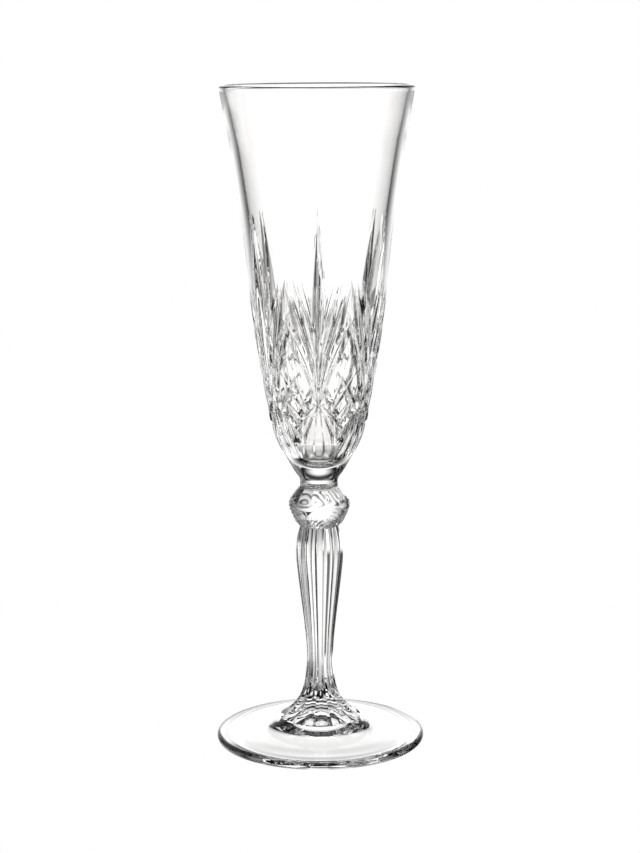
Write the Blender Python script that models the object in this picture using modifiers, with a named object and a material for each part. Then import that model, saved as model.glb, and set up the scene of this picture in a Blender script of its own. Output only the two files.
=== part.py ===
"""Champagne flute in pressed clear glass: a tall cut bowl, a knop, a fluted stem and a round foot.

Metres, +Z up, with the origin at the centre of the ring that the foot stands on. One motif of the
bowl's pattern faces -Y. A pressed flute is gathered hot from four bodies of glass, and each is an
object here, with a hairline gap where it meets its neighbour.
"""

import math

import bmesh
import bpy
from mathutils import Matrix, Vector

# Driving dimensions.
HEIGHT = 0.210
RIM_RADIUS = 0.0305
LIP_RADIUS = 0.0010
NECK_RADIUS = 0.0060
FOOT_RADIUS = 0.0335
FOOT_EDGE_RADIUS = 0.0014
JOIN_GAP = 0.0003

# Heights where one gather of glass meets the next.
BOWL_BASE = 0.0853
KNOP_BASE = 0.0707
STEM_BASE = 0.0076

# Outlines as (height, radius), each with a smooth curve through it. All but the foot's hollow run
# from the top down.
BOWL_OUTSIDE = [
    (HEIGHT - LIP_RADIUS, RIM_RADIUS),
    (0.2028, 0.0294),
    (0.1942, 0.0277),
    (0.1719, 0.0243),
    (0.1493, 0.0220),
    (0.1340, 0.0202),
    (0.1187, 0.0178),
    (0.1110, 0.0164),
    (0.1032, 0.0150),
    (0.0993, 0.0136),
    (0.0953, 0.0117),
    (0.0884, 0.0077),
    (0.0863, 0.0064),
    (BOWL_BASE, NECK_RADIUS),
]
BOWL_INSIDE = [
    (HEIGHT - LIP_RADIUS, RIM_RADIUS - 2 * LIP_RADIUS),
    (0.2023, 0.0270),
    (0.1900, 0.0244),
    (0.1775, 0.0224),
    (0.1490, 0.0187),
    (0.1340, 0.0168),
    (0.1187, 0.0144),
    (0.1045, 0.0114),
    (0.0968, 0.0086),
]
KNOP_OUTSIDE = [
    (BOWL_BASE - JOIN_GAP, NECK_RADIUS),
    (0.0838, 0.0062),
    (0.0827, 0.0072),
    (0.0810, 0.0086),
    (0.0778, 0.0098),
    (0.0745, 0.0088),
    (0.0719, 0.0074),
    (KNOP_BASE, 0.0062),
]
STEM_OUTSIDE = [
    (KNOP_BASE - JOIN_GAP, 0.0063),
    (0.0660, 0.0073),
    (0.0612, 0.0077),
    (0.0553, 0.0072),
    (0.0430, 0.0057),
    (0.0320, 0.0045),
    (0.0262, 0.0043),
    (0.0205, 0.0048),
    (0.0140, 0.0066),
    (0.0103, 0.0096),
    (STEM_BASE, 0.0129),
]
FOOT_TOP = [
    (STEM_BASE - JOIN_GAP, 0.0132),
    (0.0058, 0.0180),
    (0.0042, 0.0250),
    (2 * FOOT_EDGE_RADIUS, FOOT_RADIUS - FOOT_EDGE_RADIUS),
]

# The domed hollow under the foot, from the ring it stands on up to the axis.
FOOT_HOLLOW = [
    (0.0, 0.0288),
    (0.0018, 0.0200),
    (0.0034, 0.0100),
    (0.0053, 0.0047),
    (0.0060, 0.0026),
]
HOLLOW_TOP = 0.0062
CAVITY_FLOOR = 0.0915

ROUND_STEPS = 60
SEAM_TURN = math.radians(2.3)  # keeps the bowl's facet edges off the pattern's planes of symmetry
FLUTES = 12
FLUTE_TURN = math.radians(3.4)
STEPS_PER_FLUTE = 4
FLUTE_DEPTH = 0.11
GADROON_DEPTH = 0.07
MOTIFS = 6
PATTERN_ROOT = 0.1138
ROOT_OVERLAP = 0.0025

# Half-widths and half-depths of the pattern's V-cuts.
SPEAR_CUT = (0.0012, 0.0011)
RAY_CUT = (0.0009, 0.0008)
FAN_CUT = (0.0013, 0.0008)

FRONT = math.radians(-90)


def radius_at(outline, height):
    """Radius at a height on the smooth curve through an outline."""
    points = sorted(outline)
    slopes = [(b[1] - a[1]) / (b[0] - a[0]) for a, b in zip(points, points[1:])]
    tangents = [slopes[0]] + [(a + b) / 2 for a, b in zip(slopes, slopes[1:])] + [slopes[-1]]
    index = max(i for i in range(len(slopes)) if points[i][0] <= max(height, points[0][0]))
    (z0, r0), (z1, r1) = points[index], points[index + 1]
    span = z1 - z0
    t = min((height - z0) / span, 1.0)
    return (
        r0 * (1 + 2 * t) * (1 - t) ** 2
        + r1 * t * t * (3 - 2 * t)
        + span * t * (1 - t) * (tangents[index] * (1 - t) - tangents[index + 1] * t)
    )


def curve_through(outline, pieces=2):
    """(radius, height) points along an outline, with each stretch between knots in a few pieces."""
    points = []
    for (start, _), (end, _) in zip(outline, outline[1:]):
        for step in range(pieces):
            height = start + (end - start) * step / pieces
            points.append((radius_at(outline, height), height))
    points.append((outline[-1][1], outline[-1][0]))
    return points


def arc(centre, radius, start, end, pieces):
    """(radius, height) points on an arc, between two angles in degrees."""
    angles = [math.radians(start + (end - start) * i / pieces) for i in range(pieces + 1)]
    return [(centre[0] + radius * math.cos(a), centre[1] + radius * math.sin(a)) for a in angles]


def glass(name, colour):
    """Clear glass with a faint tint."""
    material = bpy.data.materials.new(name)
    material.use_nodes = True
    shader = material.node_tree.nodes["Principled BSDF"]
    shader.inputs["Base Color"].default_value = (*colour, 1)
    shader.inputs["Roughness"].default_value = 0.02
    shader.inputs["Metallic"].default_value = 0
    shader.inputs["IOR"].default_value = 1.52
    shader.inputs["Transmission Weight"].default_value = 1
    return material


def turned(name, profile, steps, collection, material):
    """A solid of revolution from (radius, height) points that run down its outer side."""
    mesh = bpy.data.meshes.new(name)
    shape = bmesh.new()
    points = [shape.verts.new((radius, 0, height)) for radius, height in profile]
    for first, second in zip(points, points[1:]):
        shape.edges.new((first, second))
    shape.to_mesh(mesh)
    shape.free()
    obj = bpy.data.objects.new(name, mesh)
    collection.objects.link(obj)
    screw = obj.modifiers.new("Turn", "SCREW")
    screw.steps = steps
    screw.render_steps = steps
    screw.use_merge_vertices = True
    screw.merge_threshold = 0.00001
    mesh.materials.append(material)
    return obj


def apply_modifiers(obj):
    """Make the shape that the modifiers give the object's own mesh."""
    graph = bpy.context.evaluated_depsgraph_get()
    mesh = bpy.data.meshes.new_from_object(obj.evaluated_get(graph))
    obj.modifiers.clear()
    obj.data = mesh


def shade(obj, sharp_angle):
    obj.data.shade_smooth()
    obj.data.set_sharp_from_angle(angle=math.radians(sharp_angle))


def hollow_lobes(obj, depth_at):
    """Press one round hollow per flute into a turned mesh, with ridges between them."""
    for vertex in obj.data.vertices:
        angle = math.atan2(vertex.co.y, vertex.co.x) - FRONT
        depth = depth_at(vertex.co.z) * math.cos(angle * FLUTES / 2) ** 2
        vertex.co.x *= 1 - depth
        vertex.co.y *= 1 - depth


def on_bowl(azimuth, height):
    """The point on the bowl's outer surface at an azimuth, in degrees from the front."""
    angle = FRONT + math.radians(azimuth)
    radius = radius_at(BOWL_OUTSIDE, height)
    return Vector((radius * math.cos(angle), radius * math.sin(angle), height))


def add_blade(shape, start, end, cut):
    """Add a double-ended blade between two points of the bowl, each (azimuth, height)."""
    width, depth = cut
    first = on_bowl(*start)
    last = on_bowl(*end)
    middle = on_bowl((start[0] + end[0]) / 2, (start[1] + end[1]) / 2)
    along = (last - first).normalized()
    outward = Vector((middle.x, middle.y, 0)).normalized()
    across = outward.cross(along).normalized()
    normal = along.cross(across)
    turn = Matrix((across, normal, along)).transposed().to_4x4()
    size = Matrix.Diagonal((width, depth, (last - first).length / 2, 1))
    bmesh.ops.create_uvsphere(
        shape, u_segments=4, v_segments=2, radius=1, matrix=Matrix.Translation(middle) @ turn @ size
    )


def pattern_blades(shape, azimuth):
    """One motif of the cut pattern: a spear and rays above its root and a fan below it."""
    below_root = (azimuth, PATTERN_ROOT - ROOT_OVERLAP)
    above_root = (azimuth, PATTERN_ROOT + ROOT_OVERLAP)
    add_blade(shape, below_root, (azimuth, 0.172), SPEAR_CUT)
    for side in (-1, 1):
        for spread, top in ((17.5, 0.147), (27.0, 0.1485), (34.5, 0.1395)):
            add_blade(shape, below_root, (azimuth + side * spread, top), RAY_CUT)
        for spread in (11.5, 23.4):
            add_blade(shape, above_root, (azimuth + side * spread, 0.096), FAN_CUT)
    add_blade(shape, above_root, (azimuth, 0.094), FAN_CUT)


def make_bowl(parts, cutters, material):
    floor_width, floor_height = BOWL_INSIDE[-1][1], BOWL_INSIDE[-1][0] - CAVITY_FLOOR
    floor = [
        (floor_width * math.sin(a), BOWL_INSIDE[-1][0] - floor_height * math.cos(a))
        for a in (math.radians(90 * i / 5) for i in range(5))
    ]
    lip = arc((RIM_RADIUS - LIP_RADIUS, HEIGHT - LIP_RADIUS), LIP_RADIUS, 180, 0, 4)
    inside = curve_through(BOWL_INSIDE)[::-1]
    outside = curve_through(BOWL_OUTSIDE)
    profile = floor + inside[:-1] + lip + outside[1:] + [(0, BOWL_BASE)]
    bowl = turned("bowl", profile, ROUND_STEPS, parts, material)
    bowl.rotation_euler.z = SEAM_TURN
    apply_modifiers(bowl)

    blades = bpy.data.meshes.new("pattern_blades")
    shape = bmesh.new()
    for motif in range(MOTIFS):
        pattern_blades(shape, motif * 360 / MOTIFS)
    shape.to_mesh(blades)
    shape.free()
    cutter = bpy.data.objects.new("pattern_blades", blades)
    cutter.hide_render = True
    cutter.display_type = "WIRE"
    cutters.objects.link(cutter)
    cut = bowl.modifiers.new("Pattern", "BOOLEAN")
    cut.operation = "DIFFERENCE"
    cut.solver = "EXACT"
    cut.use_self = True
    cut.object = cutter


def make_knop(parts, material):
    top, low = KNOP_OUTSIDE[0][0], KNOP_OUTSIDE[-1][0]
    profile = [(0, top)] + curve_through(KNOP_OUTSIDE) + [(0, low)]
    knop = turned("knop", profile, FLUTES * STEPS_PER_FLUTE, parts, material)
    apply_modifiers(knop)
    middle, half = (top + low) / 2, (top - low) / 2

    def depth_at(height):
        return GADROON_DEPTH * max(0.0, 1 - ((height - middle) / half) ** 2)

    hollow_lobes(knop, depth_at)
    shade(knop, 35)


def make_stem(parts, material):
    top, low = STEM_OUTSIDE[0][0], STEM_OUTSIDE[-1][0]
    profile = [(0, top)] + curve_through(STEM_OUTSIDE) + [(0, low)]
    stem = turned("stem", profile, FLUTES * STEPS_PER_FLUTE, parts, material)
    apply_modifiers(stem)
    fade = 0.006

    def depth_at(height):
        return FLUTE_DEPTH * min(1.0, 0.25 + (top - height) / fade, 0.45 + (height - low) / fade)

    hollow_lobes(stem, depth_at)
    stem.rotation_euler.z = FLUTE_TURN
    shade(stem, 35)


def make_foot(parts, material):
    top = FOOT_TOP[0][0]
    edge_centre = (FOOT_RADIUS - FOOT_EDGE_RADIUS, FOOT_EDGE_RADIUS)
    edge = arc(edge_centre, FOOT_EDGE_RADIUS, 90, -90, 8)
    hollow = curve_through(FOOT_HOLLOW) + [(0, HOLLOW_TOP)]
    profile = [(0, top)] + curve_through(FOOT_TOP) + edge[1:] + hollow
    foot = turned("foot", profile, ROUND_STEPS, parts, material)
    apply_modifiers(foot)
    shade(foot, 35)


def clear_scene():
    for obj in list(bpy.data.objects):
        bpy.data.objects.remove(obj)


def main():
    clear_scene()
    parts = bpy.data.collections.new("champagne_flute")
    cutters = bpy.data.collections.new("cutters")
    for collection in (parts, cutters):
        bpy.context.scene.collection.children.link(collection)
    make_bowl(parts, cutters, glass("bowl_glass", (0.97, 0.98, 0.97)))
    make_knop(parts, glass("knop_glass", (0.95, 0.96, 0.95)))
    make_stem(parts, glass("stem_glass", (0.96, 0.97, 0.96)))
    make_foot(parts, glass("foot_glass", (0.97, 0.98, 0.97)))


main()
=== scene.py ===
"""Champagne flute in clear pressed glass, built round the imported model: the fine surfaces of the bowl,
knop, stem and foot, the glass, and a bright studio that shows glass by its dark edges.

Every piece is a turned grid. A row is one place along the outline, a column is one direction round the
axis, and the cut pattern is pressed into the grid as a depth worked out at each point.
"""

import math

import bpy
import numpy as np
from mathutils import Matrix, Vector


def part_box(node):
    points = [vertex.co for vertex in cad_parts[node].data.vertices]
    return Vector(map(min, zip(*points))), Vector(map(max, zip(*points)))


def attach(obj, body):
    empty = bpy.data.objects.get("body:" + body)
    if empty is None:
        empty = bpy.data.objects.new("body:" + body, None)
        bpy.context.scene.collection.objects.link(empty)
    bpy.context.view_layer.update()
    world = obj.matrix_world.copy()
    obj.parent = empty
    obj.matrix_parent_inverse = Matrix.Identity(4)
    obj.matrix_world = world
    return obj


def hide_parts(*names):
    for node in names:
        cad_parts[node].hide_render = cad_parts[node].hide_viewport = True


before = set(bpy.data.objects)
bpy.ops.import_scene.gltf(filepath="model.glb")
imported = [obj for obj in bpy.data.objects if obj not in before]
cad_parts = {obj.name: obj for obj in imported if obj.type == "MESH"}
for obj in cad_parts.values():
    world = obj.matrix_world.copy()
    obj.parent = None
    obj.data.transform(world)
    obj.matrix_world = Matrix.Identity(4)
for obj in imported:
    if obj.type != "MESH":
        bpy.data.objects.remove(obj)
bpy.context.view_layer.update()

# The pieces meet at heights read from the frame, with a hairline between them.
BOWL_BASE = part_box("bowl")[0].z
KNOP_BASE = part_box("knop")[0].z
STEM_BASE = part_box("stem")[0].z
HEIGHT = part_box("bowl")[1].z
RIM_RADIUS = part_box("bowl")[1].x
FOOT_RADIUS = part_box("foot")[1].x
HAIRLINE = 0.00002

FRONT = math.radians(-90)  # the direction towards the camera, where turns are counted from
COLUMNS = 720
COARSE = COLUMNS // 3
STEM_COLUMNS = 480
POLE_GAP = 0.0004  # length left between a closing ring and its point on the axis
NEARLY_FLAT = 0.001  # a quad whose two diagonals differ in bend by less than this stays whole

# ---------------------------------------------------------------------------------------- outlines


def smooth_curve(knots, per_span=24):
    """Points on a smooth curve through (radius, height) knots, as an array."""
    points = np.array(knots, float)
    gaps = np.linalg.norm(np.diff(points, axis=0), axis=1)
    slopes = np.diff(points, axis=0) / gaps[:, None]
    tangents = np.vstack([slopes[:1], (slopes[1:] + slopes[:-1]) / 2, slopes[-1:]])
    t = np.linspace(0, 1, per_span, endpoint=False)[:, None]
    pieces = []
    for i, gap in enumerate(gaps):
        pieces.append(
            points[i] * (1 + 2 * t) * (1 - t) ** 2
            + points[i + 1] * t**2 * (3 - 2 * t)
            + gap * tangents[i] * t * (1 - t) ** 2
            - gap * tangents[i + 1] * t**2 * (1 - t)
        )
    pieces.append(points[-1:])
    return np.vstack(pieces)


def arc(centre, radius, start, end, pieces=24):
    """(radius, height) points on an arc between two angles in degrees."""
    a = np.radians(np.linspace(start, end, pieces + 1))
    return np.stack([centre[0] + radius * np.cos(a), centre[1] + radius * np.sin(a)], axis=1)


class Outline:
    """A turned outline, walked by its length from its first point."""

    def __init__(self, *stretches):
        points = np.vstack(stretches)
        keep = np.concatenate([[True], np.linalg.norm(np.diff(points, axis=0), axis=1) > 1e-9])
        self.points = points[keep]
        steps = np.linalg.norm(np.diff(self.points, axis=0), axis=1)
        self.along = np.concatenate([[0], np.cumsum(steps)])
        self.length = self.along[-1]

    def at(self, s):
        """Radius and height after length s."""
        return np.interp(s, self.along, self.points[:, 0]), np.interp(s, self.along, self.points[:, 1])

    def direction(self, s, step=0.00004):
        """Unit direction of travel at length s."""
        low, high = np.clip(s - step, 0, self.length), np.clip(s + step, 0, self.length)
        r0, z0 = self.at(low)
        r1, z1 = self.at(high)
        size = np.hypot(r1 - r0, z1 - z0)
        return (r1 - r0) / size, (z1 - z0) / size

    def length_at_height(self, height, rising=True):
        """Length where the outline first passes a height, going up or coming down."""
        z = self.points[:, 1]
        if rising:
            crossing = (z[:-1] <= height) & (z[1:] > height)
        else:
            crossing = (z[:-1] > height) & (z[1:] <= height)
        i = int(np.argmax(crossing))
        share = (height - z[i]) / (z[i + 1] - z[i])
        return self.along[i] + share * (self.along[i + 1] - self.along[i])

    def radius_at_height(self, height):
        """Radius where the outline first passes a height on its way up."""
        return float(self.at(self.length_at_height(height))[0])


# ------------------------------------------------------------------------------------ turned grids


def rows_in(bands):
    """Rows of (length, columns) that fill bands of (start, end, spacing, columns) along an outline."""
    rows = []
    for start, end, spacing, columns in bands:
        count = max(1, round((end - start) / spacing))
        rows += [(s, columns) for s in np.linspace(start, end, count, endpoint=False)]
    rows.append((end, columns))
    return rows


def ring(outline, s, columns, depth, turn_step=1e-4, rise_step=1e-5):
    """Points and outward normals round the axis at length s of an outline.

    depth(turn, height) is how far the surface is pressed in, and its slopes tilt the normals.
    """
    angles = FRONT + np.arange(columns) * 2 * math.pi / columns
    turn = angles - FRONT
    radius, height = outline.at(s)
    across, up = outline.direction(s)
    if depth is None:
        pressed = by_turn = by_rise = np.zeros(columns)
    else:
        pressed = depth(turn, height)
        by_turn = (depth(turn + turn_step, height) - depth(turn - turn_step, height)) / (2 * turn_step)
        by_rise = (depth(turn, height + rise_step) - depth(turn, height - rise_step)) / (2 * rise_step)
    r = radius - pressed
    outward = across - by_rise * up
    normal_r, normal_t, normal_z = r * up, by_turn * up, -r * outward
    size = np.sqrt(normal_r**2 + normal_t**2 + normal_z**2) + 1e-12
    cos, sin = np.cos(angles), np.sin(angles)
    normal_x = normal_r * cos - normal_t * sin
    normal_y = normal_r * sin + normal_t * cos
    points = np.stack([r * cos, r * sin, np.full(columns, height)], axis=1)
    normals = np.stack([normal_x / size, normal_y / size, normal_z / size], axis=1)
    return points, normals


def strip(low, n_low, high, n_high, normals):
    """Faces between two rings, each given by its first point and its count of columns.

    A crease crosses the grid at any slant, so a bent quad is split along its flatter diagonal.
    """
    if n_low > n_high:
        return stitch(low, n_low, high, n_high, fine_below=True)
    if n_low < n_high:
        return stitch(high, n_high, low, n_low, fine_below=False)
    here = normals[low : low + n_low], normals[high : high + n_high]
    there = np.roll(here[0], -1, axis=0), np.roll(here[1], -1, axis=0)
    rising = np.sum(here[0] * there[1], axis=1)
    falling = np.sum(there[0] * here[1], axis=1)
    faces = []
    for j in range(n_low):
        k = (j + 1) % n_low
        a, b, c, d = low + j, low + k, high + k, high + j
        if abs(rising[j] - falling[j]) < NEARLY_FLAT:
            faces.append((a, b, c, d))
        elif rising[j] > falling[j]:
            faces += [(a, b, c), (a, c, d)]
        else:
            faces += [(a, b, d), (b, c, d)]
    return faces


def stitch(fine, n_fine, coarse, n_coarse, fine_below):
    """Triangles between two rings, where the finer has a whole multiple of the coarser's columns."""
    faces = []
    share = n_fine // n_coarse
    middle = share // 2
    for j in range(n_coarse):
        c, d = coarse + j, coarse + (j + 1) % n_coarse
        for i in range(share):
            a, b = fine + j * share + i, fine + (j * share + i + 1) % n_fine
            tip = c if i <= middle else d
            faces.append((a, b, tip) if fine_below else (b, a, tip))
            if i == middle:
                faces.append((b, d, c) if fine_below else (c, d, b))
    return faces


def turned(name, outline, rows, depth=None, start="cap", end="cap"):
    """A closed solid from rows of (length, columns) along an outline.

    The walk keeps the glass on its left. An end is a cap, where the piece is fused to its neighbour,
    or a pole, where the surface closes on the axis.
    """
    points, normals, first_of_row = [], [], []
    count = 0
    for s, columns in rows:
        ring_points, ring_normals = ring(outline, s, columns, depth)
        first_of_row.append((count, columns))
        points.append(ring_points)
        normals.append(ring_normals)
        count += columns

    faces, joints = [], []
    all_normals = np.vstack(normals)
    for below, above in zip(first_of_row, first_of_row[1:]):
        faces += strip(*below, *above, all_normals)

    for which, row, pole, facing in ((start, 0, 0.0, -1.0), (end, -1, outline.length, 1.0)):
        first, columns = first_of_row[row]
        height = float(outline.at(pole if which == "pole" else rows[row][0])[1])
        points.append([[0.0, 0.0, height]])
        normals.append([[0.0, 0.0, facing]])
        for j in range(columns):
            k = (j + 1) % columns
            faces.append((count, first + k, first + j) if facing < 0 else (count, first + j, first + k))
            if which == "cap":
                joints.append(len(faces) - 1)
        count += 1

    mesh = bpy.data.meshes.new(name)
    mesh.from_pydata(np.vstack(points).tolist(), [], faces)
    mesh.polygons.foreach_set("use_smooth", np.ones(len(faces), bool))
    slots = np.zeros(len(faces), np.int32)
    slots[joints] = 1
    mesh.polygons.foreach_set("material_index", slots)
    mesh.validate()
    mesh.normals_split_custom_set_from_vertices(np.vstack(normals).tolist())
    piece = bpy.data.objects.new(name, mesh)
    bpy.context.scene.collection.objects.link(piece)
    return piece


# ---------------------------------------------------------------------------------- fields of depth

UNCUT = -0.002  # a field of cuts starts from here, well outside the glass
EDGE_BLEND = 0.00012
BOTTOM_BLEND = 0.00005
THINNEST = 0.0001  # keeps a cut's half-width off zero


def ease(x):
    """A smooth step from 0 to 1."""
    x = np.clip(x, 0, 1)
    return x * x * (3 - 2 * x)


def soft_max(a, b, blend):
    """The larger of two fields, rounded where they meet."""
    gap = np.clip(0.5 + (a - b) / (2 * blend), 0, 1)
    return b + (a - b) * gap + blend * gap * (1 - gap)


def groove(u, v, start, end, widths, slope, lean=0.0, rounded=False):
    """Depth of a V-cut from start to end on the unrolled wall, with half-widths at even steps along it.

    A lean moves the bottom of the V to one side, by that share of the half-width. One flank of a
    rounded cut curves in from its edge.
    """
    du, dv = end[0] - start[0], end[1] - start[1]
    length = math.hypot(du, dv)
    along = ((u - start[0]) * du + (v - start[1]) * dv) / length**2
    aside = ((u - start[0]) * dv - (v - start[1]) * du) / length
    past = np.maximum(np.maximum(-along, along - 1), 0) * length
    width = np.interp(along, np.linspace(0, 1, len(widths)), widths) - past
    left, right = (width + aside) / (1 + lean), (width - aside) / (1 - lean)
    if rounded:
        left = np.where(left > 0, left * np.abs(left) / np.maximum(width, THINNEST), left)
    return -soft_max(-slope * left, -slope * right, BOTTOM_BLEND)


# -------------------------------------------------------------------------------------------- bowl

LIP_RADIUS = 0.0010
LIP_LOW = 0.2070
CAVITY_FLOOR = 0.0913
bowl_outline = Outline(
    smooth_curve(
        [
            (0.0060, BOWL_BASE),
            (0.0061, 0.0859),
            (0.0065, 0.0868),
            (0.0072, 0.0877),
            (0.0079, 0.0887),
            (0.0095, 0.0915),
            (0.0117, 0.0953),
            (0.0136, 0.0993),
            (0.0150, 0.1032),
            (0.0164, 0.1110),
            (0.0178, 0.1187),
            (0.0202, 0.1340),
            (0.0220, 0.1493),
            (0.0243, 0.1719),
            (0.0277, 0.1942),
            (0.0294, 0.2028),
            (0.0302, 0.2073),
        ]
    ),
    arc((RIM_RADIUS - LIP_RADIUS, HEIGHT - LIP_RADIUS), LIP_RADIUS, 0, 180),
    smooth_curve(
        [
            (0.0284, 0.2083),
            (0.0270, 0.2023),
            (0.0244, 0.1900),
            (0.0224, 0.1775),
            (0.0207, 0.1650),
            (0.0187, 0.1490),
            (0.0168, 0.1340),
            (0.0144, 0.1187),
            (0.0129, 0.1110),
            (0.0114, 0.1045),
            (0.0101, 0.1003),
            (0.0081, 0.0967),
            (0.0069, 0.0946),
            (0.0056, 0.0932),
            (0.0040, 0.0922),
            (0.0022, 0.0915),
            (0.0, CAVITY_FLOOR),
        ]
    ),
)

# The pattern repeats round the bowl. A motif has a tall spear in its middle and, on either side, three
# rays, two more cuts and a stone, with a shell of petals below its root.
MOTIFS = 6
MOTIF = 2 * math.pi / MOTIFS
PATTERN_LOW = 0.0940
PATTERN_FADE = 0.0015
DENSE_TOP = 0.1500  # the cuts lie closest below this height
PATTERN_TOP = 0.1730
PATTERN_MARGIN = 0.001

# Each cut: where it starts and ends, as (degrees from the motif's centre, height), its half-widths
# along it, the slope of its flanks and its lean. The spear is rounded too.
SPEAR = ((0, 0.1190), (0, 0.1715), (0.0004, 0.0014, 0.0022, 0.0024, 0.0018, 0.0009, 0.0), 0.95, -0.15, True)
RAYS = (
    ((1.5, 0.1250), (17.3, 0.1475), (0.0002, 0.0006, 0.0010, 0.0011, 0.0007, 0.0), 0.65, 0.5),
    ((1.5, 0.1135), (27.0, 0.1490), (0.0003, 0.0007, 0.0011, 0.0014, 0.0013, 0.0008, 0.0), 0.70, 0.5),
    ((2.0, 0.1140), (33.0, 0.1405), (0.0004, 0.0009, 0.0013, 0.0014, 0.0012, 0.0008, 0.0), 0.60, 0.5),
)
LOWER_EDGE = ((0.0, 0.1125), (31.0, 0.1013), (0.0006, 0.0012, 0.0016, 0.0019, 0.0020), 0.90, 0.55)
CROSS_ARM = ((14.0, 0.1100), (38.0, 0.1215), (0.0003, 0.0007, 0.0009, 0.0007, 0.0003), 0.50, 0.0)

# A stone is a shallow dish. Two short nicks, each (degrees round, rise), spring from each of its corners.
STONE = (16.5, 0.1205)
STONE_HALF_TURN = 9.0
STONE_HALF_HEIGHT = 0.0070
STONE_DEPTH = 0.0003
STONE_CORNERS = ((25.0, 0.1278), (19.6, 0.1222), (10.5, 0.1162))
NICKS = ((3.5, -0.0016), (-1.5, 0.0014))
NICK_WIDTHS = (0.0005, 0.0004, 0.0)
NICK_SLOPE = 1.1

# A shell fans out from its root down to its end, where each petal has this centre and half-angle.
PETALS = ((0.0, 10.0), (18.0, 8.0))
PETAL_DEPTH = 0.0003
SHELL_ROOT = 0.1138
SHELL_END = 0.0955
WIDEST_SPREAD = 1.1
ROUND_FROM = 0.88  # the share of the way down where a petal starts to round off
ROUND_OVER = 0.15
ROOT_SHARE = 0.2  # a petal's depth at the root, as a share of its full depth


def bowl_depth(turn, height):
    """How far the cuts are pressed into the bowl's outside."""
    if not PATTERN_LOW < height < PATTERN_TOP + PATTERN_MARGIN:
        return np.zeros_like(turn)
    local = (turn + MOTIF / 2) % MOTIF - MOTIF / 2
    radius = bowl_outline.radius_at_height(height)
    depth = np.full_like(local, UNCUT)
    for shift in (-MOTIF, 0, MOTIF):
        place = local - shift
        u, v = radius * place, np.full_like(place, height)

        def cut(side, start, end, *shape):
            """A groove of this motif, mirrored where side is -1."""
            begin = (side * radius * math.radians(start[0]), start[1])
            finish = (side * radius * math.radians(end[0]), end[1])
            return groove(u, v, begin, finish, *shape)

        depth = soft_max(depth, cut(1, *SPEAR), EDGE_BLEND)
        for side in (-1, 1):
            for *spec, lean in (*RAYS, LOWER_EDGE, CROSS_ARM):
                depth = soft_max(depth, cut(side, *spec, -side * lean), EDGE_BLEND)
            for degrees, z in STONE_CORNERS:
                for further, rise in NICKS:
                    nick = cut(side, (degrees, z), (degrees + further, z + rise), NICK_WIDTHS, NICK_SLOPE)
                    depth = soft_max(depth, nick, EDGE_BLEND / 2)
            depth = np.maximum(depth, stone(place, height, side))
        depth = soft_max(depth, shell(place, height), EDGE_BLEND)
    pressed = np.maximum(soft_max(depth, np.zeros_like(depth), EDGE_BLEND) - EDGE_BLEND / 4, 0)
    return pressed * ease((height - PATTERN_LOW) / PATTERN_FADE)


def stone(place, height, side):
    """A shallow dish between the rays and the lower edge."""
    degrees, middle = STONE
    aside = (np.degrees(place) - side * degrees) / STONE_HALF_TURN
    above = (height - middle) / STONE_HALF_HEIGHT
    return STONE_DEPTH * (1 - aside**2 - above**2)


def shell(place, height):
    """The round-ended petals that fan out below a motif's root."""
    fall = (SHELL_ROOT - height) / (SHELL_ROOT - SHELL_END)
    depth = np.full_like(place, UNCUT)
    if fall <= 0:
        return depth
    spread = min(fall, WIDEST_SPREAD)
    rounding = max(0.0, (fall - ROUND_FROM) / ROUND_OVER)
    for middle, half in PETALS:
        for side in (-1, 1) if middle else (1,):
            aside = (np.degrees(place) - side * middle * spread) / (half * spread)
            petal = PETAL_DEPTH * (1 - aside**2 - rounding**2) * min(1.0, ROOT_SHARE + fall)
            depth = np.maximum(depth, petal)
    return depth


def make_bowl():
    """The bowl: up its cut outside, over the lip and down the inside to the cavity's floor."""
    up = bowl_outline.length_at_height
    inside = up(LIP_LOW, rising=False)
    rows = rows_in(
        (
            (0.0, up(PATTERN_LOW), 0.0006, COARSE),
            (up(PATTERN_LOW), up(DENSE_TOP), 0.00027, COLUMNS),
            (up(DENSE_TOP), up(PATTERN_TOP), 0.00045, COLUMNS),
            (up(PATTERN_TOP), up(LIP_LOW), 0.0022, COARSE),
            (up(LIP_LOW), inside, 0.00018, COARSE),
            (inside, bowl_outline.length - POLE_GAP, 0.0018, COARSE),
        )
    )
    return turned("bowl_glass", bowl_outline, rows, bowl_depth, end="pole")


# -------------------------------------------------------------------------------------------- knop

knop_outline = Outline(
    smooth_curve(
        [
            (0.0062, KNOP_BASE),
            (0.0074, 0.0719),
            (0.0088, 0.0745),
            (0.0096, 0.0765),
            (0.0098, 0.0778),
            (0.0095, 0.0793),
            (0.0086, 0.0810),
            (0.0072, 0.0827),
            (0.0062, 0.0838),
            (0.0060, BOWL_BASE - HAIRLINE),
        ]
    )
)
SHELLS = 4
SHELL_TURN = math.radians(18.5)

# The ribs of a shell are arcs round the middle of its base.
RIB_DEPTH = 0.00013
RIB_PITCH = 0.0013
RIB_REACH = 0.0085
RIB_FADE = 0.001

# A notch parts two shells, and it narrows to nothing at its top.
NOTCH_WIDTH = 0.0016
NOTCH_TOP = 0.0772
NOTCH_HEIGHT = 0.0065
NOTCH_SLOPE = 1.2

COLLAR_FLUTES = 12
COLLAR_DEPTH = 0.00026
COLLAR_LOW = 0.0788
COLLAR_LOW_FADE = 0.0025
COLLAR_TOP = 0.0846
COLLAR_TOP_FADE = 0.0015


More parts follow.
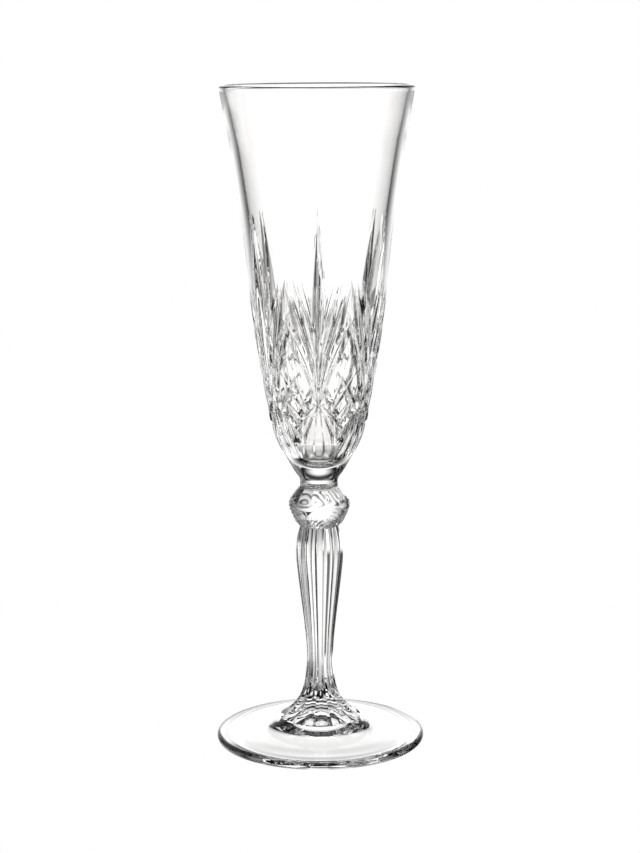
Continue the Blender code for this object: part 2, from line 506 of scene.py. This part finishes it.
def knop_depth(turn, height):
    """Four ribbed shells round the knop, with notches between them, under a collar of shallow flutes."""
    pitch = 2 * math.pi / SHELLS
    local = (turn - SHELL_TURN + pitch / 2) % pitch - pitch / 2
    radius = knop_outline.radius_at_height(height)
    from_base = np.hypot(radius * local, height - KNOP_BASE)
    ribs = RIB_DEPTH * (1 + np.cos(from_base * 2 * math.pi / RIB_PITCH))
    ribs = ribs * ease((RIB_REACH - from_base) / RIB_FADE)
    width = NOTCH_WIDTH * np.clip((NOTCH_TOP - height) / NOTCH_HEIGHT, 0, 1)
    notch = NOTCH_SLOPE * np.maximum(0, width - radius * (pitch / 2 - np.abs(local)))
    flutes = COLLAR_DEPTH * np.abs(np.cos(turn * COLLAR_FLUTES / 2))
    flutes = flutes * ease((height - COLLAR_LOW) / COLLAR_LOW_FADE)
    flutes = flutes * ease((COLLAR_TOP - height) / COLLAR_TOP_FADE)
    return ribs + notch + flutes


def make_knop():
    """The knop, between the stem and the bowl."""
    rows = rows_in(((0.0, knop_outline.length, 0.00022, COARSE),))
    return turned("knop_glass", knop_outline, rows, knop_depth)


# -------------------------------------------------------------------------------------------- stem

STEM_RADIUS = 0.0130  # where the stem's flare meets the foot
stem_outline = Outline(
    smooth_curve(
        [
            (STEM_RADIUS, STEM_BASE),
            (0.0107, 0.0093),
            (0.0082, 0.0117),
            (0.0066, 0.0140),
            (0.0055, 0.0170),
            (0.0048, 0.0205),
            (0.0043, 0.0262),
            (0.0045, 0.0320),
            (0.0052, 0.0390),
            (0.0064, 0.0487),
            (0.0072, 0.0553),
            (0.0077, 0.0612),
            (0.0073, 0.0660),
            (0.0062, KNOP_BASE - HAIRLINE),
        ]
    )
)
FLUTES = 12
FLUTE_TURN = math.radians(3.4)
FLUTE_DEPTH = 0.085  # as a share of the radius


def stem_depth(turn, height):
    """Twelve round flutes with crisp ridges between them."""
    radius = stem_outline.radius_at_height(height)
    return FLUTE_DEPTH * radius * np.abs(np.cos((turn - FLUTE_TURN) * FLUTES / 2))


def make_stem():
    """The fluted stem, from the foot to the knop."""
    rows = rows_in(((0.0, stem_outline.length, 0.0005, STEM_COLUMNS),))
    return turned("stem_glass", stem_outline, rows, stem_depth)


# -------------------------------------------------------------------------------------------- foot

FOOT_EDGE = 0.0014
REST_RING = 0.0288
HOLLOW_TOP = 0.0062
foot_outline = Outline(
    smooth_curve(
        [
            (0.0, HOLLOW_TOP),
            (0.0026, 0.0060),
            (0.0047, 0.0053),
            (0.0070, 0.0043),
            (0.0100, 0.0034),
            (0.0150, 0.0026),
            (0.0200, 0.0018),
            (0.0260, 0.0007),
            (REST_RING, 0.00008),
            (REST_RING + 0.0008, 0.0),
        ]
    ),
    arc((FOOT_RADIUS - FOOT_EDGE, FOOT_EDGE), FOOT_EDGE, -90, 90),
    smooth_curve(
        [
            (FOOT_RADIUS - FOOT_EDGE, 2 * FOOT_EDGE),
            (0.0300, 0.0031),
            (0.0285, 0.0035),
            (0.0250, 0.0042),
            (0.0180, 0.0058),
            (STEM_RADIUS, STEM_BASE - HAIRLINE),
        ]
    ),
)
# Lengths along the outline between which rows are close, for the resting ring and the rounded edge.
CLOSE_FROM = 0.0300
CLOSE_TO = 0.0385


def make_foot():
    """The foot: out along its hollow underside, round the edge and back over the top to the stem."""
    rows = rows_in(
        (
            (POLE_GAP, CLOSE_FROM, 0.0009, COARSE),
            (CLOSE_FROM, CLOSE_TO, 0.00022, COARSE),
            (CLOSE_TO, foot_outline.length, 0.0006, COARSE),
        )
    )
    return turned("foot_glass", foot_outline, rows, start="pole")


# --------------------------------------------------------------------------------------- materials

GLASS_TINT = (0.995, 0.99, 0.985, 1)
GLASS_IOR = 1.52
POLISH_SCALE = 160
POLISH_NOISE = (0.35, 0.70)
POLISH_ROUGHNESS = (0.002, 0.012)
RIPPLE_SCALE = 110
RIPPLE_STRENGTH = 0.15
RIPPLE_DISTANCE = 0.00006


def clear_glass():
    """Clear glass whose polish varies a little from place to place, with a faint ripple from the mould."""
    material = bpy.data.materials.new("clear_pressed_glass")
    material.use_nodes = True
    nodes, links = material.node_tree.nodes, material.node_tree.links
    shader = nodes["Principled BSDF"]
    shader.inputs["Base Color"].default_value = GLASS_TINT
    shader.inputs["IOR"].default_value = GLASS_IOR
    shader.inputs["Transmission Weight"].default_value = 1.0

    place = nodes.new("ShaderNodeTexCoord")
    polish = nodes.new("ShaderNodeTexNoise")
    polish.inputs["Scale"].default_value = POLISH_SCALE
    level = nodes.new("ShaderNodeMapRange")
    level.inputs["From Min"].default_value, level.inputs["From Max"].default_value = POLISH_NOISE
    level.inputs["To Min"].default_value, level.inputs["To Max"].default_value = POLISH_ROUGHNESS
    links.new(place.outputs["Object"], polish.inputs["Vector"])
    links.new(polish.outputs["Fac"], level.inputs["Value"])
    links.new(level.outputs["Result"], shader.inputs["Roughness"])

    ripple = nodes.new("ShaderNodeTexNoise")
    ripple.inputs["Scale"].default_value = RIPPLE_SCALE
    ripple.inputs["Detail"].default_value = 1
    bump = nodes.new("ShaderNodeBump")
    bump.inputs["Strength"].default_value = RIPPLE_STRENGTH
    bump.inputs["Distance"].default_value = RIPPLE_DISTANCE
    links.new(place.outputs["Object"], ripple.inputs["Vector"])
    links.new(ripple.outputs["Fac"], bump.inputs["Height"])
    links.new(bump.outputs["Normal"], shader.inputs["Normal"])
    return material


def fused_joint():
    """Inside a fused joint there is no surface, so the caps of the pieces let light straight through."""
    material = bpy.data.materials.new("fused_joint")
    material.use_nodes = True
    shader = material.node_tree.nodes["Principled BSDF"]
    shader.inputs["Base Color"].default_value = (1, 1, 1, 1)
    shader.inputs["Alpha"].default_value = 0.0
    return material


# ------------------------------------------------------------------------------- camera and studio

LENS = 90.28
SENSOR_WIDTH = 36
CAMERA_PLACE = (0.0004, -0.668, 0.225)
LOOKING_DOWN = 10.373  # degrees
CAMERA_LEAN = -0.31  # degrees

# Each panel's left, right, low and high side, as where its light starts to fall off and where it is
# gone. Sideways is in degrees from straight behind the flute, upwards in degrees from the horizon.
PANELS = (
    ((-2, -50), (2, 50), (3, -50), (24, 37)),
    ((-63, -77), (-35, -22), (-38, -52), (-19, -12)),
    ((-100, -112), (-80, -68), (-8, -14), (6, 14)),
    ((115, 100), (157, 172), (-22, -34), (4, 14)),
)
PANEL_LEVEL = 1.46
OVERHEAD = (70, 40)
OVERHEAD_LEVEL = 0.12
UNDERFOOT = (-80, -60)
ROOM_LEVEL = 0.004

FLOOR_RADIUS = 0.16
FLOOR_HEIGHT = -0.0003


def make_camera():
    """The photograph's view, looking down a little at the front of the flute."""
    data = bpy.data.cameras.new("camera")
    data.lens = LENS
    data.sensor_width = SENSOR_WIDTH
    data.clip_start = 0.01
    data.clip_end = 100
    camera = bpy.data.objects.new("camera", data)
    tilt = Matrix.Rotation(math.radians(90 - LOOKING_DOWN), 4, "X")
    lean = Matrix.Rotation(math.radians(CAMERA_LEAN), 4, "Z")
    camera.matrix_world = Matrix.Translation(CAMERA_PLACE) @ tilt @ lean
    bpy.context.scene.collection.objects.link(camera)
    bpy.context.scene.camera = camera


def split_by_camera(tree, others, camera):
    """One shader for what the camera sees directly, and another for all other light."""
    mix = tree.nodes.new("ShaderNodeMixShader")
    path = tree.nodes.new("ShaderNodeLightPath")
    tree.links.new(path.outputs["Is Camera Ray"], mix.inputs[0])
    tree.links.new(others.outputs[0], mix.inputs[1])
    tree.links.new(camera.outputs[0], mix.inputs[2])
    return mix.outputs[0]


def make_world():
    """A dark room with soft white panels, a dim patch overhead and a white one straight below.

    Where nothing is in front of it, the camera sees plain white.
    """
    world = bpy.data.worlds.new("studio")
    bpy.context.scene.world = world
    world.use_nodes = True
    nodes, links = world.node_tree.nodes, world.node_tree.links
    nodes.clear()
    out = nodes.new("ShaderNodeOutputWorld")
    seen = nodes.new("ShaderNodeBackground")
    seen.inputs["Color"].default_value = (1, 1, 1, 1)
    room = nodes.new("ShaderNodeBackground")
    links.new(split_by_camera(world.node_tree, room, seen), out.inputs[0])

    place = nodes.new("ShaderNodeTexCoord")
    split = nodes.new("ShaderNodeSeparateXYZ")
    links.new(place.outputs["Generated"], split.inputs[0])

    def math_node(operation, *values):
        """A sum worked out on numbers and other nodes' outputs."""
        node = nodes.new("ShaderNodeMath")
        node.operation = operation
        for socket, value in zip(node.inputs, values):
            if isinstance(value, (int, float)):
                socket.default_value = value
            else:
                links.new(value, socket)
        return node.outputs[0]

    def fade(value, start, end):
        """1 up to start, falling smoothly to 0 at end, whichever of the two is greater."""
        node = nodes.new("ShaderNodeMapRange")
        node.interpolation_type = "SMOOTHSTEP"
        links.new(value, node.inputs["Value"])
        node.inputs["From Min"].default_value = start
        node.inputs["From Max"].default_value = end
        node.inputs["To Min"].default_value = 1.0
        node.inputs["To Max"].default_value = 0.0
        return node.outputs[0]

    radians_round = math_node("ARCTAN2", split.outputs["X"], split.outputs["Y"])
    azimuth = math_node("MULTIPLY", radians_round, 180 / math.pi)
    height = math_node("MULTIPLY", math_node("ARCSINE", split.outputs["Z"]), 180 / math.pi)

    light = ROOM_LEVEL
    for left, right, low, high in PANELS:
        shape = math_node("MULTIPLY", fade(azimuth, *left), fade(azimuth, *right))
        shape = math_node("MULTIPLY", shape, fade(height, *low))
        shape = math_node("MULTIPLY", shape, fade(height, *high))
        light = math_node("MAXIMUM", light, math_node("MULTIPLY", shape, PANEL_LEVEL))
    overhead = math_node("MULTIPLY", fade(height, *OVERHEAD), OVERHEAD_LEVEL)
    light = math_node("MAXIMUM", light, overhead)
    light = math_node("MAXIMUM", light, fade(height, *UNDERFOOT))
    links.new(light, room.inputs["Color"])


def make_floor():
    """A floor that is plain white to the camera. Other light passes it, so the glass shows the studio."""
    place = (0, 0, FLOOR_HEIGHT)
    bpy.ops.mesh.primitive_circle_add(vertices=128, radius=FLOOR_RADIUS, fill_type="NGON", location=place)
    floor = bpy.context.object
    floor.name = "floor"
    material = bpy.data.materials.new("pale_floor")
    material.use_nodes = True
    nodes, links = material.node_tree.nodes, material.node_tree.links
    nodes.clear()
    out = nodes.new("ShaderNodeOutputMaterial")
    glow = nodes.new("ShaderNodeEmission")
    clear = nodes.new("ShaderNodeBsdfTransparent")
    links.new(split_by_camera(material.node_tree, clear, glow), out.inputs[0])
    floor.data.materials.append(material)


# ------------------------------------------------------------------------------------------- build

GLASS_BOUNCES = 32  # enough for light to cross every wall of glass on its way
GLOSSY_BOUNCES = 16

glass, joint = clear_glass(), fused_joint()
for piece, node in (
    (make_bowl(), "bowl"),
    (make_knop(), "knop"),
    (make_stem(), "stem"),
    (make_foot(), "foot"),
):
    piece.data.materials.append(glass)
    piece.data.materials.append(joint)
    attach(piece, "root")
    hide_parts(node)

make_camera()
make_world()
make_floor()

scene = bpy.context.scene
scene.view_settings.view_transform = "Standard"
scene.cycles.max_bounces = GLASS_BOUNCES
scene.cycles.transmission_bounces = GLASS_BOUNCES
scene.cycles.transparent_max_bounces = GLASS_BOUNCES
scene.cycles.glossy_bounces = GLOSSY_BOUNCES
